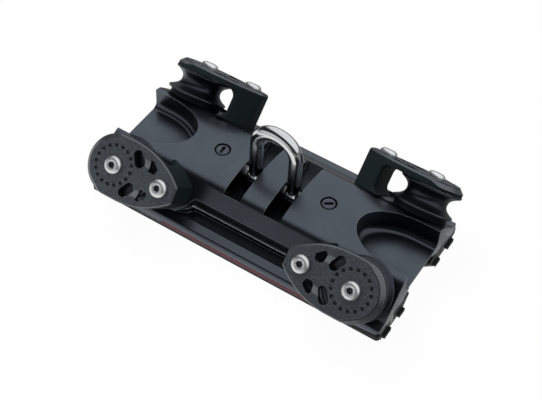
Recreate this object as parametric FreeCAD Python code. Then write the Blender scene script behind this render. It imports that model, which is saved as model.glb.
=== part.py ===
import FreeCAD, Part
import math
import os
from FreeCAD import Matrix, Vector

# Traveller car for a boat's mainsheet track, with four control-line blocks and a bow shackle.
# Millimetres. X runs along the track, Y across it, Z up. The origin is the middle of the underside.
# "Near" is the -Y side, "far" the +Y side, "left" the -X end, "right" the +X end.

# Body section
BODY_LENGTH = 299.0
BODY_HALF_WIDTH = 71.5
GUIDE_DROP = 4.0                # the ball guides stand this far below the aluminium
CROWN_TOP = 50.7
CROWN_RADIUS = 138.0
CROWN_EDGE_ROUND = 14.0
SHOULDER_TILT = 45.0            # the shoulders and the blocks on them lean out by this angle
SHOULDER_REACH = 81.6           # on the shoulder, Y plus Z is this much
CREASE_Y = 62.1                 # the shoulder turns into the flatter edge shelf here
EDGE_TOP = 16.3                 # height of the edge shelf at the side
EDGE_ROUND = 4.0
PLAN_CORNER_ROUND = 5.0
STRIPE_CHANNEL_LOW = 7.0
STRIPE_CHANNEL_HIGH = 11.5
STRIPE_CHANNEL_DEPTH = 0.4

# Track channel and the recesses for the ball guides
CHANNEL_ROOF = 21.0
CHANNEL_HALF_WIDTH = 21.0
CHANNEL_LEAD_IN = 4.0           # bevel at both mouths, so that the track finds its way in
RECESS_ROOF = 16.0
RECESS_FLAT_Y = 31.0
RECESS_HALF_WIDTH = 46.0

# Pockets at both ends
POCKET_HALF_WIDTH = 29.0
POCKET_LENGTH = 63.5            # from the end face to the closed end
POCKET_NOSE = 45.0              # length of the rounded nose
POCKET_FLOOR = 26.5
POCKET_ROUND = 6.0

# Long steps cut in the shoulders between the blocks
STEP_INNER_Y = 48.8
STEP_LEDGE_RISE = 3.5           # the ledge stands this far above the crease, the floor below it
STEP_LEDGE = 1.2
STEP_FLOOR_DROP = 1.5
STEP_FLOOR_WIDTH = 5.0
STEP_CORNER_ROUND = 7.0
STEP_INSET = 46.0               # from the axles to the cutter's ends, under the blocks
ISLAND_MARGIN = 1.2             # metal left round each block's seat
SEAT_MARGIN = 0.8               # the seats are sunk into the edge shelf with this much room

# Shackle, its slots and its pin
SLOT_INNER_X = 12.0
SLOT_OUTER_X = 29.0
SLOT_FLOOR = 30.4
SLOT_CUTTER_RADIUS = 62.0
WIRE_DIAMETER = 13.0
BAR_FACES = 16
BOW_RADIUS = 19.8               # to the centre of the wire
BOW_CENTRE_Z = 83.0
EYE_RADIUS = 7.8
PIN_Z = 38.5
PIN_DIAMETER = 10.0
PIN_LENGTH = 140.0
PIN_FIT = 0.05
PIN_GROOVE_DEPTH = 0.6

# Slotted screws that lock the pin
LOCK_X = 55.2
LOCK_RADIUS = 7.3
LOCK_HOLE_CLEARANCE = 0.3
LOCK_FACE_RADIUS = 5.6
LOCK_BEVEL = 1.6
LOCK_RECESS = 0.5
LOCK_SLOT_WIDTH = 3.0
LOCK_SLOT_DEPTH = 2.2
LOCK_SLOT_TURNS = (96.0, 34.0)  # as they happen to stand, left and right

# Control blocks: local frame with X from the sheave axle to the post, Z out of the cheek's face
AXLE_INSET = 29.5               # from the end face
SHEAVE_RADIUS = 28.5
SHEAVE_WIDTH = 22.6
SHEAVE_GROOVE_FLOOR = 19.5
SHEAVE_RIM = 3.0
SHEAVE_GROOVE_EASE = 3.0        # height and width of the groove's steep walls end here
SHEAVE_GROOVE_FLAT = 5.0
SIDE_GAP = 0.6
CHEEK_THICKNESS = 6.5
CHEEK_RADIUS = 28.0
CHEEK_STRAIGHT = 12.0
CHEEK_SIDE_RADIUS = 75.0
CHEEK_END = 63.5
CHEEK_BEVEL = 1.5
CHEEK_CORNER_ROUND = 3.0
NOSE_BEVEL_WIDTH = 4.4          # the round end is turned to a wider and flatter bevel
NOSE_BEVEL_HEIGHT = 4.0
NOSE_BEVEL_END = -2.7
BASE_THICKNESS = 4.5
BASE_RADIUS = 25.0
POST_SCREW_X = 48.0
POST_FACE_X = 41.0              # the rope's gap ends here
POST_TOP_ROUND = 8.0            # the post flares into the cheek with this radius
POST_FOOT_ROUND = 8.0           # and into its foot on the shoulder with this one
POST_FOOT_EDGE = 0.8            # thickness at the toe of the foot
DIMPLE_COUNT = 17
DIMPLE_CIRCLE = 17.5
DIMPLE_FLATS = 3.2
DIMPLE_DEPTH = 1.2
OVAL_ENDS = ((21.9, 11.7), (18.1, 17.8))
OVAL_RADIUS = 4.6
DEE_CORNERS = ((33.2, 17.0), (34.0, 10.6), (37.2, 10.6), (37.8, 13.2))
DEE_RADIUS = 2.4
DEE_DEPTH = 14.0
WEB_RECESS = 2.2

# Axle, hub, bush and screws of a block
HUB_RADIUS = 12.0
BUSH_WALL = 3.0
BUSH_FIT = 0.05
SCREW_RADIUS = 4.0
SCREW_CLEARANCE = 0.3
SCREW_GRIP = 12.0               # thread length in the body
TAP_FIT = 0.05
HEAD_RADIUS = 8.2
HEAD_HEIGHT = 4.6
HEAD_EDGE = 1.2
HEAD_SHOULDER = 6.8
HEAD_TOP = 4.6
HEAD_SOCKET_FLATS = 5.6
HEAD_SOCKET_DEPTH = 2.8

# Ball guides, end turns and balls
GUIDE_INNER_Y = 18.5
GUIDE_OUTER_Y = 66.0
GUIDE_FIT = 0.1
END_TURN_LENGTH = 23.5
BALL_DIAMETER = 12.0
BALL_ROW_Y = 22.5
BALL_ROW_Z = 9.5
BALL_PITCH = 12.4
BALL_FACES = 8
BALL_LEVELS = (-66.0, -24.0, 24.0, 66.0)
RACE_CLEARANCE = 0.2
RETURN_ROW_Y = 38.0
TAB_REACH = 2.5
TURN_BEVEL = (11.5, 9.5, 12.0)   # inner lower corner of an end turn, along X, Y and Z
TABS_Y = ((28.0, 37.0), (52.0, 63.0))
GUIDE_SCREW_Y = 56.0
GUIDE_SCREW_INSET = 17.5        # from the end face to the screws in the end turns
GUIDE_SCREW_RADIUS = 2.5
GUIDE_SCREW_HEAD = 4.8
GUIDE_SCREW_LENGTH = 9.0
GUIDE_HEAD_RECESS = 0.4
GUIDE_HEX_FLATS = 3.0

# Places that follow from the sizes above
HALF_LENGTH = BODY_LENGTH / 2
CREASE_Z = SHOULDER_REACH - CREASE_Y
STEP_LEDGE_Z = CREASE_Z + STEP_LEDGE_RISE
STEP_FLOOR_Z = CREASE_Z - STEP_FLOOR_DROP
POCKET_END_X = HALF_LENGTH - POCKET_LENGTH
AXLE_X = HALF_LENGTH - AXLE_INSET
STEP_REACH = AXLE_X - STEP_INSET
GUIDE_STRAIGHT = BODY_LENGTH - 2 * END_TURN_LENGTH
BALL_COUNT = int(GUIDE_STRAIGHT / BALL_PITCH)
GUIDE_SCREW_X = HALF_LENGTH - GUIDE_SCREW_INSET
GUIDE_SCREWS_X = (-GUIDE_SCREW_X, -GUIDE_SCREW_X / 3, GUIDE_SCREW_X / 3, GUIDE_SCREW_X)
STACK = CHEEK_THICKNESS + SIDE_GAP + SHEAVE_WIDTH + SIDE_GAP + BASE_THICKNESS
SEAT_Y = 49.25                  # the axle meets the shoulder here
SEAT_Z = SHOULDER_REACH - SEAT_Y
AXLE_Y = SEAT_Y + STACK * math.sin(math.radians(SHOULDER_TILT))
AXLE_Z = SEAT_Z + STACK * math.cos(math.radians(SHOULDER_TILT))
CORNERS = {"near_left": (-1, -1), "near_right": (1, -1), "far_left": (-1, 1), "far_right": (1, 1)}
SIDES = {"near": -1, "far": 1}


def box(x0, x1, y0, y1, z0, z1):
    """A box from its lowest and highest corner."""
    return Part.makeBox(x1 - x0, y1 - y0, z1 - z0, Vector(x0, y0, z0))


def rod(radius, x, y, z0, z1):
    """An upright cylinder between two heights."""
    return Part.makeCylinder(radius, z1 - z0, Vector(x, y, z0))


def rod_x(radius, x0, x1, y, z):
    """A cylinder along X."""
    return Part.makeCylinder(radius, x1 - x0, Vector(x0, y, z), Vector(1, 0, 0))


def prism_x(points, x0, x1):
    """A Y-Z outline pushed along X."""
    ring = [Vector(x0, y, z) for y, z in points]
    face = Part.Face(Part.makePolygon(ring + ring[:1]))
    return face.extrude(Vector(x1 - x0, 0, 0))


def turned(profile):
    """An (r, z) outline turned about the Z axis."""
    ring = [Vector(r, 0, z) for r, z in profile]
    face = Part.Face(Part.makePolygon(ring + ring[:1]))
    return face.revolve(Vector(0, 0, 0), Vector(0, 0, 1), 360)


def joined(shapes):
    """One solid from several that overlap or touch."""
    whole = shapes[0]
    for shape in shapes[1:]:
        whole = whole.fuse(shape)
    return whole.removeSplitter()


def hexagon(flats, x, y, z0, z1):
    """An upright hexagonal prism, by its width across flats."""
    reach = flats / math.sqrt(3.0)
    turns = [math.radians(60 * k) for k in range(6)]
    ring = [Vector(x + reach * math.cos(turn), y + reach * math.sin(turn), z0) for turn in turns]
    face = Part.Face(Part.makePolygon(ring + ring[:1]))
    return face.extrude(Vector(0, 0, z1 - z0))


def edges_where(shape, test):
    """The edges of a shape whose bounding box passes a test."""
    return [edge for edge in shape.Edges if test(edge.BoundBox)]


def on_corner(shape, end, side):
    """A copy of a shape, carried from a block's own frame to its corner of the car."""
    tilt = math.radians(SHOULDER_TILT)
    along = Vector(-end, 0, 0)
    out = Vector(0, side * math.sin(tilt), math.cos(tilt))
    across = out.cross(along)
    place = Matrix(along.x, across.x, out.x, end * AXLE_X,
                   along.y, across.y, out.y, side * AXLE_Y,
                   along.z, across.z, out.z, AXLE_Z,
                   0, 0, 0, 1)
    copy = shape.copy()
    copy.Placement = FreeCAD.Placement(place).multiply(shape.Placement)
    return copy


def cheek_face(margin=0.0):
    """The cheek's outline: round about the axle, straight flanks, then a narrowing curve to the post."""
    shrink = margin - CHEEK_CORNER_ROUND
    half = CHEEK_RADIUS + shrink
    bend = CHEEK_SIDE_RADIUS + shrink
    end = CHEEK_END + shrink
    low = CHEEK_RADIUS - CHEEK_SIDE_RADIUS
    end_turn_angle = math.asin((end - CHEEK_STRAIGHT) / bend)

    def at_bend(turn, flank):
        return Vector(CHEEK_STRAIGHT + bend * math.sin(turn), flank * (low + bend * math.cos(turn)), 0)

    edges = [
        Part.Arc(Vector(0, half, 0), Vector(-half, 0, 0), Vector(0, -half, 0)).toShape(),
        Part.LineSegment(Vector(0, -half, 0), Vector(CHEEK_STRAIGHT, -half, 0)).toShape(),
        Part.Arc(at_bend(0, -1), at_bend(end_turn_angle / 2, -1), at_bend(end_turn_angle, -1)).toShape(),
        Part.LineSegment(at_bend(end_turn_angle, -1), at_bend(end_turn_angle, 1)).toShape(),
        Part.Arc(at_bend(end_turn_angle, 1), at_bend(end_turn_angle / 2, 1), at_bend(0, 1)).toShape(),
        Part.LineSegment(Vector(CHEEK_STRAIGHT, half, 0), Vector(0, half, 0)).toShape(),
    ]
    return Part.Face(Part.Wire(edges)).makeOffset2D(CHEEK_CORNER_ROUND)


def cheek_slab(z0, z1, margin=0.0):
    """The cheek's outline as a slab between two heights."""
    face = cheek_face(margin)
    face.translate(Vector(0, 0, z0))
    return face.extrude(Vector(0, 0, z1 - z0))


def bevelled_plate():
    """The cheek's plate, with a narrow bevel all round and a wider turned one at the round end."""
    plate = cheek_slab(-CHEEK_THICKNESS, 0)
    plate = plate.makeChamfer(CHEEK_BEVEL, edges_where(plate, lambda b: b.ZMin > -0.01))
    inner = CHEEK_RADIUS - NOSE_BEVEL_WIDTH
    outer = CHEEK_RADIUS + NOSE_BEVEL_WIDTH
    cone = turned([(inner, 0), (outer, -2 * NOSE_BEVEL_HEIGHT), (outer, 1), (inner, 1)])
    end = NOSE_BEVEL_END
    return plate.cut(cone.common(box(-outer - 1, end, -outer - 1, outer + 1, -CHEEK_THICKNESS, 2)))


def stadium(start, end, radius, z0, z1):
    """A long hole with round ends."""
    first = Vector(start[0], start[1], z0)
    last = Vector(end[0], end[1], z0)
    side = (last - first).normalize().cross(Vector(0, 0, 1)) * radius
    on = (last - first).normalize() * radius
    edges = [
        Part.LineSegment(first + side, last + side).toShape(),
        Part.Arc(last + side, last + on, last - side).toShape(),
        Part.LineSegment(last - side, first - side).toShape(),
        Part.Arc(first - side, first - on, first + side).toShape(),
    ]
    return Part.Face(Part.Wire(edges)).extrude(Vector(0, 0, z1 - z0))


def dee(radius, z0, z1):
    """A rounded hole with the corners of the D."""
    ring = [Vector(x, y, z0) for x, y in DEE_CORNERS]
    core = Part.Face(Part.makePolygon(ring + ring[:1])).extrude(Vector(0, 0, z1 - z0))
    ends = DEE_CORNERS[1:] + DEE_CORNERS[:1]
    rims = [stadium(start, end, radius, z0, z1) for start, end in zip(DEE_CORNERS, ends)]
    return joined([core] + rims)


def mirrored(shape):
    """The shape's mirror image in the block's own middle plane."""
    return shape.mirror(Vector(0, 0, 0), Vector(0, 1, 0))


def post():
    """The cheek's post down to the shoulder. Its face towards the sheave flares into plate and foot."""
    wide = CHEEK_RADIUS + 1
    start = POST_FACE_X - POST_TOP_ROUND
    top = -CHEEK_THICKNESS - POST_TOP_ROUND
    low = -STACK + POST_FOOT_EDGE + POST_FOOT_ROUND
    across = Vector(0, 1, 0)
    block = cheek_slab(-STACK, -CHEEK_THICKNESS)
    block = block.common(box(start, CHEEK_END, -wide, wide, -STACK, 0))
    block = block.cut(box(start - 1, POST_FACE_X, -wide, wide, low, top))
    block = block.cut(Part.makeCylinder(POST_TOP_ROUND, 2 * wide, Vector(start, -wide, top), across))
    toe = Vector(POST_FACE_X - POST_FOOT_ROUND, -wide, low)
    return block.cut(Part.makeCylinder(POST_FOOT_ROUND, 2 * wide, toe, across))


def cheek():
    """Outer cheek and its post, one casting: bevelled plate, dimples, windows and a flared post."""
    body = joined([bevelled_plate(), post()])
    body = body.cut(rod(SCREW_RADIUS + SCREW_CLEARANCE, 0, 0, -STACK, 1))
    body = body.cut(rod(SCREW_RADIUS + SCREW_CLEARANCE, POST_SCREW_X, 0, -STACK - 1, 1))
    for k in range(DIMPLE_COUNT):
        turn = 2 * math.pi * k / DIMPLE_COUNT
        x = DIMPLE_CIRCLE * math.cos(turn)
        y = DIMPLE_CIRCLE * math.sin(turn)
        body = body.cut(hexagon(DIMPLE_FLATS, x, y, -DIMPLE_DEPTH, 1))
    ring = [OVAL_ENDS[0], OVAL_ENDS[1], DEE_CORNERS[0], DEE_CORNERS[1]]
    ring = [Vector(x, y, -WEB_RECESS) for x, y in ring]
    web = Part.Face(Part.makePolygon(ring + ring[:1])).extrude(Vector(0, 0, WEB_RECESS + 1))
    window = joined([stadium(OVAL_ENDS[0], OVAL_ENDS[1], OVAL_RADIUS, -CHEEK_THICKNESS - 1, 1), web,
                     dee(DEE_RADIUS, -DEE_DEPTH, 1)])
    return body.cut(window).cut(mirrored(window))


def base_cheek():
    """Inner cheek: a round pad between the sheave and the shoulder, a little smaller than the sheave."""
    pad = rod(BASE_RADIUS, 0, 0, -STACK, BASE_THICKNESS - STACK)
    return pad.cut(rod(SCREW_RADIUS + SCREW_CLEARANCE, 0, 0, -STACK - 1, 0))


def sheave():
    """Sheave: one turning with square rims and a deep groove of four bevels and a flat floor."""
    half = SHEAVE_WIDTH / 2
    middle = -CHEEK_THICKNESS - SIDE_GAP - half
    bore = HUB_RADIUS + BUSH_FIT + BUSH_WALL
    lip = half - SHEAVE_RIM
    wall_r = SHEAVE_GROOVE_FLOOR + SHEAVE_GROOVE_EASE
    wall_z = lip - SHEAVE_GROOVE_EASE
    floor_z = SHEAVE_GROOVE_FLAT / 2
    upper = [(bore, half), (SHEAVE_RADIUS, half), (SHEAVE_RADIUS, lip), (wall_r, wall_z),
             (SHEAVE_GROOVE_FLOOR, floor_z)]
    lower = [(r, -z) for r, z in reversed(upper)]
    return turned([(r, middle + z) for r, z in upper + lower])


def bush():
    """Plain bearing ring pressed in the sheave."""
    top = -CHEEK_THICKNESS - SIDE_GAP
    ring = rod(HUB_RADIUS + BUSH_FIT + BUSH_WALL, 0, 0, top - SHEAVE_WIDTH, top)
    return ring.cut(rod(HUB_RADIUS + BUSH_FIT, 0, 0, top - SHEAVE_WIDTH - 1, top + 1))


def hub():
    """Fixed sleeve that the sheave turns on, clamped between the cheeks."""
    sleeve = rod(HUB_RADIUS, 0, 0, BASE_THICKNESS - STACK, -CHEEK_THICKNESS)
    return sleeve.cut(rod(SCREW_RADIUS + SCREW_CLEARANCE, 0, 0, -STACK, 0))


def button_screw():
    """Button-head socket screw on the axle: domed head in two bevels, hexagon socket, plain shank."""
    bottom = -STACK - SCREW_GRIP
    profile = [(0, bottom), (SCREW_RADIUS, bottom), (SCREW_RADIUS, 0), (HEAD_RADIUS, 0),
               (HEAD_RADIUS, HEAD_EDGE), (HEAD_SHOULDER, HEAD_HEIGHT - HEAD_EDGE), (HEAD_TOP, HEAD_HEIGHT),
               (0, HEAD_HEIGHT)]
    socket = hexagon(HEAD_SOCKET_FLATS, 0, 0, HEAD_HEIGHT - HEAD_SOCKET_DEPTH, HEAD_HEIGHT + 1)
    return turned(profile).cut(socket)


def body_section():
    """Outside of the body as one extrusion with a crowned top."""
    half = BODY_HALF_WIDTH
    high = CROWN_TOP + 6
    points = [(-half, GUIDE_DROP), (half, GUIDE_DROP), (half, EDGE_TOP), (CREASE_Y, CREASE_Z),
              (SHOULDER_REACH - high, high), (high - SHOULDER_REACH, high), (-CREASE_Y, CREASE_Z),
              (-half, EDGE_TOP)]
    blank = prism_x(points, -HALF_LENGTH, HALF_LENGTH)
    crown = rod_x(CROWN_RADIUS, -HALF_LENGTH, HALF_LENGTH, 0, CROWN_TOP - CROWN_RADIUS)
    blank = blank.common(crown)
    long = BODY_LENGTH - 1
    tops = edges_where(blank, lambda b: b.XLength > long and b.ZMin > CROWN_TOP - 12)
    blank = blank.makeFillet(CROWN_EDGE_ROUND, tops)
    lips = edges_where(blank, lambda b: b.XLength > long and abs(b.ZMin - EDGE_TOP) < 0.01)
    blank = blank.makeFillet(EDGE_ROUND, lips)
    corner = box(-HALF_LENGTH, HALF_LENGTH, -half, half, 0, CROWN_TOP + 1)
    rises = edges_where(corner, lambda b: b.ZLength > 1)
    return blank.common(corner.makeFillet(PLAN_CORNER_ROUND, rises))


def pocket(end):
    """Cutter for one end pocket: parallel walls, a half-ellipse nose and a rounded floor."""
    nose_x = POCKET_END_X + POCKET_NOSE
    far = HALF_LENGTH + 10
    top = CROWN_TOP + 10
    ellipse = Part.Ellipse(Vector(nose_x, 0, POCKET_FLOOR), POCKET_NOSE, POCKET_HALF_WIDTH)
    face = Part.Face(Part.Wire(ellipse.toShape()))
    nose = face.extrude(Vector(0, 0, top - POCKET_FLOOR))
    trunk = box(nose_x, far, -POCKET_HALF_WIDTH, POCKET_HALF_WIDTH, POCKET_FLOOR, top)
    cutter = joined([nose, trunk])
    floor = edges_where(cutter, lambda b: b.ZMax < POCKET_FLOOR + 0.01 and b.XMax < far - 0.01 or
                        b.ZMax < POCKET_FLOOR + 0.01 and b.YLength < 0.01)
    cutter = cutter.makeFillet(POCKET_ROUND, floor)
    if end < 0:
        cutter = cutter.mirror(Vector(0, 0, 0), Vector(1, 0, 0))
    return cutter


def step_cutter(shape, margin):
    """A cutter for the far shoulder, kept clear of both block seats, with its inner corners rounded."""
    seat = cheek_face(margin)
    seat.translate(Vector(0, 0, -STACK))
    for end in (-1, 1):
        island = on_corner(seat, end, 1)
        island.translate(Vector(0, 0, -CROWN_TOP))
        shape = shape.cut(island.extrude(Vector(0, 0, 2 * CROWN_TOP)))
    reach = AXLE_X - CHEEK_END - margin
    corners = edges_where(shape, lambda b: b.ZLength > 3 and b.XLength < 0.01 and b.YLength < 0.01 and
                          abs(abs(b.XMin) - reach) < 0.1 and b.YMax < STEP_INNER_Y + 2)
    return shape.makeFillet(STEP_CORNER_ROUND, corners)


def shoulder_steps():
    """Cutters for the steps between the blocks: a deep wall with a narrow ledge and a rising floor."""
    outside = BODY_HALF_WIDTH + 5
    upper = box(-STEP_REACH, STEP_REACH, STEP_INNER_Y, outside, STEP_LEDGE_Z, CROWN_TOP)
    upper = step_cutter(upper, ISLAND_MARGIN)
    inner = STEP_INNER_Y + STEP_LEDGE
    section = [(inner, STEP_FLOOR_Z), (inner + STEP_FLOOR_WIDTH, STEP_FLOOR_Z), (CREASE_Y, CREASE_Z),
               (outside, CREASE_Z), (outside, STEP_LEDGE_Z + 0.5), (inner, STEP_LEDGE_Z + 0.5)]
    lower = step_cutter(prism_x(section, -STEP_REACH, STEP_REACH), ISLAND_MARGIN + STEP_LEDGE)
    cutters = []
    for cutter in (upper, lower):
        cutters.append(cutter)
        cutters.append(cutter.mirror(Vector(0, 0, 0), Vector(0, 1, 0)))
    return cutters


def shackle_slot(end):
    """Cutter for one shackle slot, as a side-and-face cutter sinks it."""
    x0, x1 = sorted((end * SLOT_INNER_X, end * SLOT_OUTER_X))
    return rod_x(SLOT_CUTTER_RADIUS, x0, x1, 0, SLOT_FLOOR + SLOT_CUTTER_RADIUS)


def underside():
    """Cutter for the track channel and the two guide recesses beside it."""
    half = [(CHANNEL_HALF_WIDTH, CHANNEL_ROOF), (RECESS_FLAT_Y, RECESS_ROOF),
            (RECESS_HALF_WIDTH, RECESS_ROOF), (RECESS_HALF_WIDTH, -1)]
    points = [(-y, z) for y, z in reversed(half)] + half
    channel = prism_x(points, -HALF_LENGTH - 1, HALF_LENGTH + 1)
    low = CHANNEL_ROOF
    for end in (-1, 1):
        ring = [Vector(end * (HALF_LENGTH - CHANNEL_LEAD_IN), -CHANNEL_HALF_WIDTH, low),
                Vector(end * (HALF_LENGTH + 1), -CHANNEL_HALF_WIDTH, low + CHANNEL_LEAD_IN + 1),
                Vector(end * (HALF_LENGTH + 1), -CHANNEL_HALF_WIDTH, low - 1),
                Vector(end * (HALF_LENGTH - CHANNEL_LEAD_IN), -CHANNEL_HALF_WIDTH, low - 1)]
        mouth = Part.Face(Part.makePolygon(ring + ring[:1])).extrude(Vector(0, 2 * CHANNEL_HALF_WIDTH, 0))
        channel = channel.fuse(mouth)
    return channel


def car_body():
    """Machined aluminium body."""
    body = body_section()
    body = body.cut(underside())
    for end in (-1, 1):
        body = body.cut(pocket(end))
        body = body.cut(shackle_slot(end))
        body = body.cut(rod(LOCK_RADIUS + LOCK_HOLE_CLEARANCE, end * LOCK_X, 0, PIN_Z, CROWN_TOP + 5))
    for cutter in shoulder_steps():
        body = body.cut(cutter)
    bore_start = -POCKET_END_X - POCKET_NOSE
    body = body.cut(rod_x(PIN_DIAMETER / 2 + PIN_FIT, bore_start, PIN_LENGTH / 2 + 0.5, 0, PIN_Z))
    tapped = rod(SCREW_RADIUS + TAP_FIT, 0, 0, -STACK - SCREW_GRIP - 1, -STACK + 1)
    taps = tapped.fuse(rod(SCREW_RADIUS + TAP_FIT, POST_SCREW_X, 0, -STACK - SCREW_GRIP - 1, -STACK + 1))
    seat = cheek_slab(-STACK, 0, SEAT_MARGIN)
    for end, side in CORNERS.values():
        body = body.cut(on_corner(seat, end, side))
        body = body.cut(on_corner(taps, end, side))
    for side in SIDES.values():
        face = side * BODY_HALF_WIDTH
        y0, y1 = sorted((face - side * STRIPE_CHANNEL_DEPTH, face + side))
        stripe = box(-HALF_LENGTH - 1, HALF_LENGTH + 1, y0, y1, STRIPE_CHANNEL_LOW, STRIPE_CHANNEL_HIGH)
        body = body.cut(stripe)
        for x in GUIDE_SCREWS_X:
            tap = rod(GUIDE_SCREW_RADIUS + TAP_FIT, x, side * GUIDE_SCREW_Y, 0, GUIDE_SCREW_LENGTH + 1)
            body = body.cut(tap)
    return body


def guide_profile():
    """Section of a ball guide on the far side: a foot under the body and a raised part beside the track."""
    inner = GUIDE_INNER_Y
    top = RECESS_ROOF - GUIDE_FIT
    outer = RECESS_HALF_WIDTH - GUIDE_FIT
    return [(inner, 0), (GUIDE_OUTER_Y, 0), (GUIDE_OUTER_Y, GUIDE_DROP), (outer, GUIDE_DROP), (outer, top),
            (inner + 2, top), (inner, top - 2)]


def guide(side):
    """Ball guide: long moulding with an open race towards the track and a closed return race."""
    half = GUIDE_STRAIGHT / 2
    race = BALL_DIAMETER / 2 + RACE_CLEARANCE
    rail = prism_x(guide_profile(), -half, half)
    rail = rail.cut(rod_x(race, -half - 1, half + 1, BALL_ROW_Y, BALL_ROW_Z))
    rail = rail.cut(rod_x(race, -half - 1, half + 1, RETURN_ROW_Y, BALL_ROW_Z))
    for x in GUIDE_SCREWS_X[1:-1]:
        rail = rail.cut(guide_screw_seat(x, GUIDE_SCREW_Y))
    return rail if side > 0 else rail.mirror(Vector(0, 0, 0), Vector(0, 1, 0))


def corner_wedge(corner, lengths):
    """Cutter that bevels the corner of a block towards -X, +Y and +Z, with some stock outside it."""
    steps = (Vector(-lengths[0], 0, 0), Vector(0, lengths[1], 0), Vector(0, 0, lengths[2]))
    middle = corner + (steps[0] + steps[1] + steps[2]) * (1 / 3)
    a, b, c = [middle + (corner + step - middle) * 1.5 for step in steps]
    apex = corner + (corner - middle)
    sides = ((a, b, c), (a, b, apex), (b, c, apex), (c, a, apex))
    return Part.Solid(Part.Shell([Part.Face(Part.makePolygon([p, q, r, p])) for p, q, r in sides]))


def end_turn(end, side):
    """End turn: closes the ball loop at one end, with two small tabs past the end face."""
    start = GUIDE_STRAIGHT / 2
    race = BALL_DIAMETER / 2 + RACE_CLEARANCE
    middle_y = (BALL_ROW_Y + RETURN_ROW_Y) / 2
    bend = (RETURN_ROW_Y - BALL_ROW_Y) / 2
    block = prism_x(guide_profile(), start, HALF_LENGTH)
    ring = rod(bend + race, start, middle_y, BALL_ROW_Z - race, BALL_ROW_Z + race)
    ring = ring.cut(rod(bend - race, start, middle_y, 0, RECESS_ROOF))
    block = block.cut(ring)
    for y0, y1 in TABS_Y:
        block = block.fuse(box(HALF_LENGTH - 1, HALF_LENGTH + TAB_REACH, y0, y1, 0, GUIDE_DROP))
    block = block.removeSplitter().cut(guide_screw_seat(GUIDE_SCREWS_X[-1], GUIDE_SCREW_Y))
    block = block.cut(corner_wedge(Vector(HALF_LENGTH, GUIDE_INNER_Y, 0), TURN_BEVEL))
    if end < 0:
        block = block.mirror(Vector(0, 0, 0), Vector(1, 0, 0))
    if side < 0:
        block = block.mirror(Vector(0, 0, 0), Vector(0, 1, 0))
    return block


def countersunk(x, y, grow, reach):
    """Countersunk head and shank, pointing up from the underside."""
    cone_height = GUIDE_SCREW_HEAD - GUIDE_SCREW_RADIUS
    low = GUIDE_HEAD_RECESS
    cone = Part.makeCone(GUIDE_SCREW_HEAD + grow, GUIDE_SCREW_RADIUS + grow, cone_height, Vector(x, y, low))
    shank = rod(GUIDE_SCREW_RADIUS + grow, x, y, low + cone_height, reach)
    return cone.fuse(shank)


def guide_screw_seat(x, y):
    """Hole and countersink for one guide screw."""
    seat = countersunk(x, y, TAP_FIT, GUIDE_DROP + 1)
    return seat.fuse(rod(GUIDE_SCREW_HEAD + TAP_FIT, x, y, -1, GUIDE_HEAD_RECESS))


def guide_screws():
    """Countersunk screws that hold the guides and the end turns."""
    screws = []
    for side in SIDES.values():
        for x in GUIDE_SCREWS_X:
            y = side * GUIDE_SCREW_Y
            screw = countersunk(x, y, 0, GUIDE_SCREW_LENGTH).removeSplitter()
            screws.append(screw.cut(hexagon(GUIDE_HEX_FLATS, x, y, -1, GUIDE_HEAD_RECESS + 1.6)))
    return Part.Compound(screws)


def ball(x, y, z):
    """A ball as a solid of flat faces, with its corners on the true sphere."""
    radius = BALL_DIAMETER / 2
    turn = 2 * math.pi / BALL_FACES

    def corner(level, k):
        rise = radius * math.sin(math.radians(BALL_LEVELS[level]))
        reach = radius * math.cos(math.radians(BALL_LEVELS[level]))
        return Vector(x + reach * math.cos(k * turn), y + reach * math.sin(k * turn), z + rise)

    rings = [[corner(level, k) for k in range(BALL_FACES)] for level in range(len(BALL_LEVELS))]
    faces = [Part.Face(Part.makePolygon(ring + ring[:1])) for ring in (rings[0], rings[-1])]
    for low, high in zip(rings, rings[1:]):
        for k in range(BALL_FACES):
            after = (k + 1) % BALL_FACES
            faces.append(Part.Face(Part.makePolygon([low[k], low[after], high[after], high[k], low[k]])))
    return Part.Solid(Part.Shell(faces))


def ball_row(side):
    """Bearing balls in the open race."""
    start = -(BALL_COUNT - 1) * BALL_PITCH / 2
    y = side * BALL_ROW_Y
    return Part.Compound([ball(start + k * BALL_PITCH, y, BALL_ROW_Z) for k in range(BALL_COUNT)])


def shackle_bow():
    """Bow shackle: bar bent to a U, with an eye at the foot of each leg."""
    wire_radius = WIRE_DIAMETER / 2
    turns = [2 * math.pi * (k + 0.5) / BAR_FACES for k in range(BAR_FACES)]
    ring = [Vector(BOW_RADIUS + wire_radius * math.cos(turn), wire_radius * math.sin(turn), BOW_CENTRE_Z)
            for turn in turns]
    section = Part.Face(Part.makePolygon(ring + ring[:1]))
    pieces = [section.revolve(Vector(0, 0, BOW_CENTRE_Z), Vector(0, -1, 0), 180)]
    for end in (-1, 1):
        leg = section.copy()
        leg.translate(Vector((end - 1) * BOW_RADIUS, 0, 0))
        pieces.append(leg.extrude(Vector(0, 0, PIN_Z - BOW_CENTRE_Z)))
        x = end * BOW_RADIUS
        pieces.append(rod_x(EYE_RADIUS, x - wire_radius, x + wire_radius, 0, PIN_Z))
    whole = joined(pieces)
    bore = rod_x(PIN_DIAMETER / 2 + PIN_FIT, -SLOT_OUTER_X - 5, SLOT_OUTER_X + 5, 0, PIN_Z)
    return whole.cut(bore)


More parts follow.
